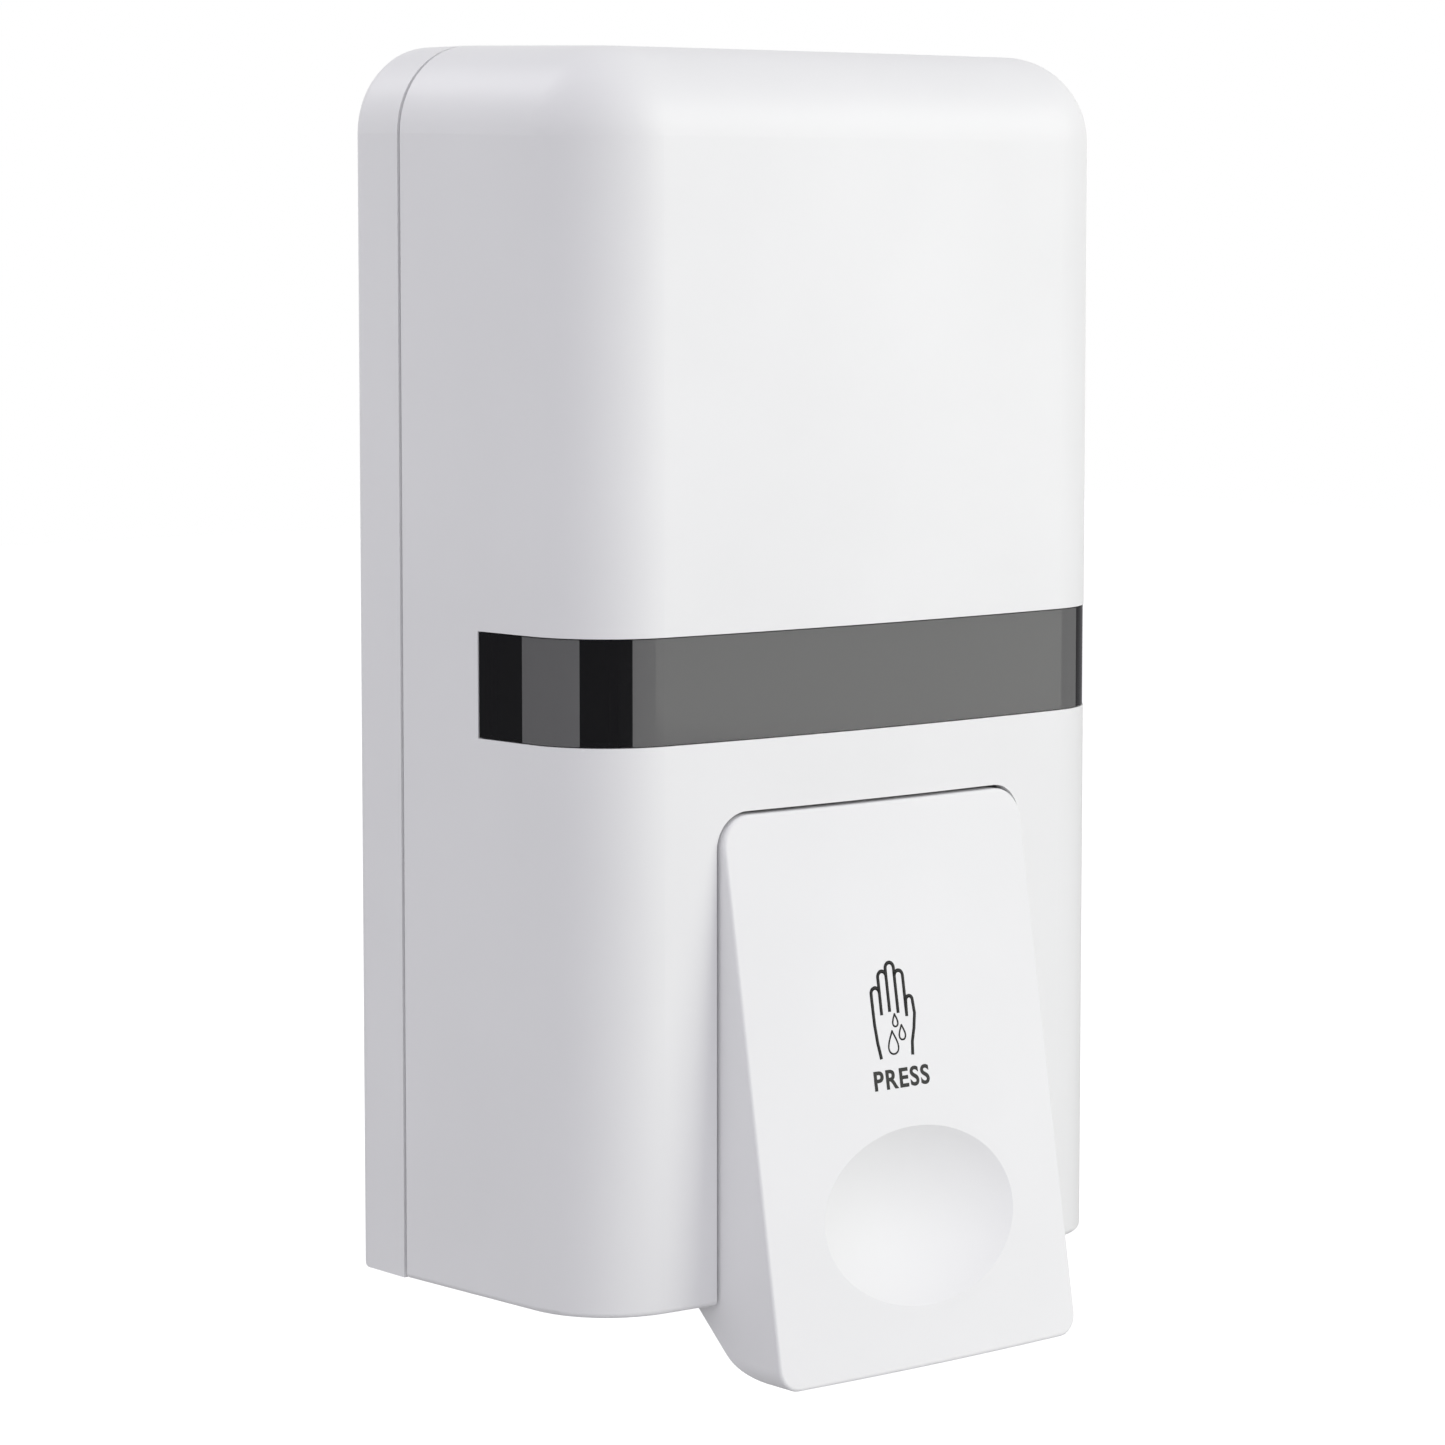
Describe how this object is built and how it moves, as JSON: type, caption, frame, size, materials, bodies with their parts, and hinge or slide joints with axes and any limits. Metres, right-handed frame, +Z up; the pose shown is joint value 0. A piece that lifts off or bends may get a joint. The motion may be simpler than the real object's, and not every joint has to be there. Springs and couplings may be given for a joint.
{
  "type": "wall mounted soap dispenser",
  "caption": "Upright white wall mounted soap dispenser with a wrap-round smoked sight window, a hinged push lever with a finger dish, a refillable tank and a plunger pump.",
  "frame": {"origin": "middle of the wall screw pattern, on the rear face that meets the wall", "axes": "+X to the right of someone facing the dispenser, +Y into the wall, +Z up"},
  "size_m": [0.1334, 0.0879, 0.239],
  "materials": {
    "case_plastic": "satin white ABS",
    "lever_plastic": "satin white ABS",
    "window_plastic": "smoked clear polycarbonate",
    "tank_plastic": "milky natural polypropylene",
    "pump_plastic": "moulded white polypropylene",
    "silicone": "pale silicone",
    "seal_rubber": "black rubber",
    "steel": "stainless steel",
    "plated_lock": "nickel plated zinc"
  },
  "bodies": {
    "base": {"back_plate": "case_plastic", "hinge_pins": "steel", "tank": "tank_plastic", "outlet_gasket": "silicone", "union_nut": "pump_plastic", "pump_body": "pump_plastic", "inlet_valve": "silicone", "pump_cap": "pump_plastic", "outlet_valve": "silicone", "nozzle": "pump_plastic", "return_spring": "steel"},
    "cover": {"front_cover": "case_plastic", "sight_window": "window_plastic", "lever_pin": "steel"},
    "lever": {"push_lever": "lever_plastic"},
    "plunger": {"plunger": "pump_plastic", "plunger_seal": "seal_rubber"},
    "lid": {"tank_lid": "pump_plastic", "lid_gasket": "silicone"},
    "lock": {"lock_barrel": "plated_lock", "lock_cam": "steel", "lock_washer": "steel", "lock_screw": "steel"}
  },
  "joints": [
    {"name": "cover_swing", "type": "hinge", "parent": "base", "child": "cover", "pos_m": [0, -0.015, -0.113], "axis": [1, 0, 0], "range_deg": [0, 85]},
    {"name": "lever_press", "type": "hinge", "parent": "cover", "child": "lever", "pos_m": [0, -0.063, -0.031], "axis": [1, 0, 0], "range_deg": [0, 8.5], "stiffness_Nm_per_rad": 0.9, "springref_deg": -12.61},
    {"name": "plunger_slide", "type": "slide", "parent": "base", "child": "plunger", "axis": [0, 1, 0], "range_m": [0, 0.0075], "deforming": ["return_spring"]},
    {"name": "lid_lift", "type": "slide", "parent": "base", "child": "lid", "axis": [0, 0, 1], "range_m": [0, 0.005]},
    {"name": "lock_turn", "type": "hinge", "parent": "base", "child": "lock", "pos_m": [0, -0.0089, 0.105], "axis": [0, 0, -1], "range_deg": [0, 90]}
  ],
  "couplings": [
    {"joint": "plunger_slide", "follows": "lever_press", "m_per_rad": 0.05}
  ]
}
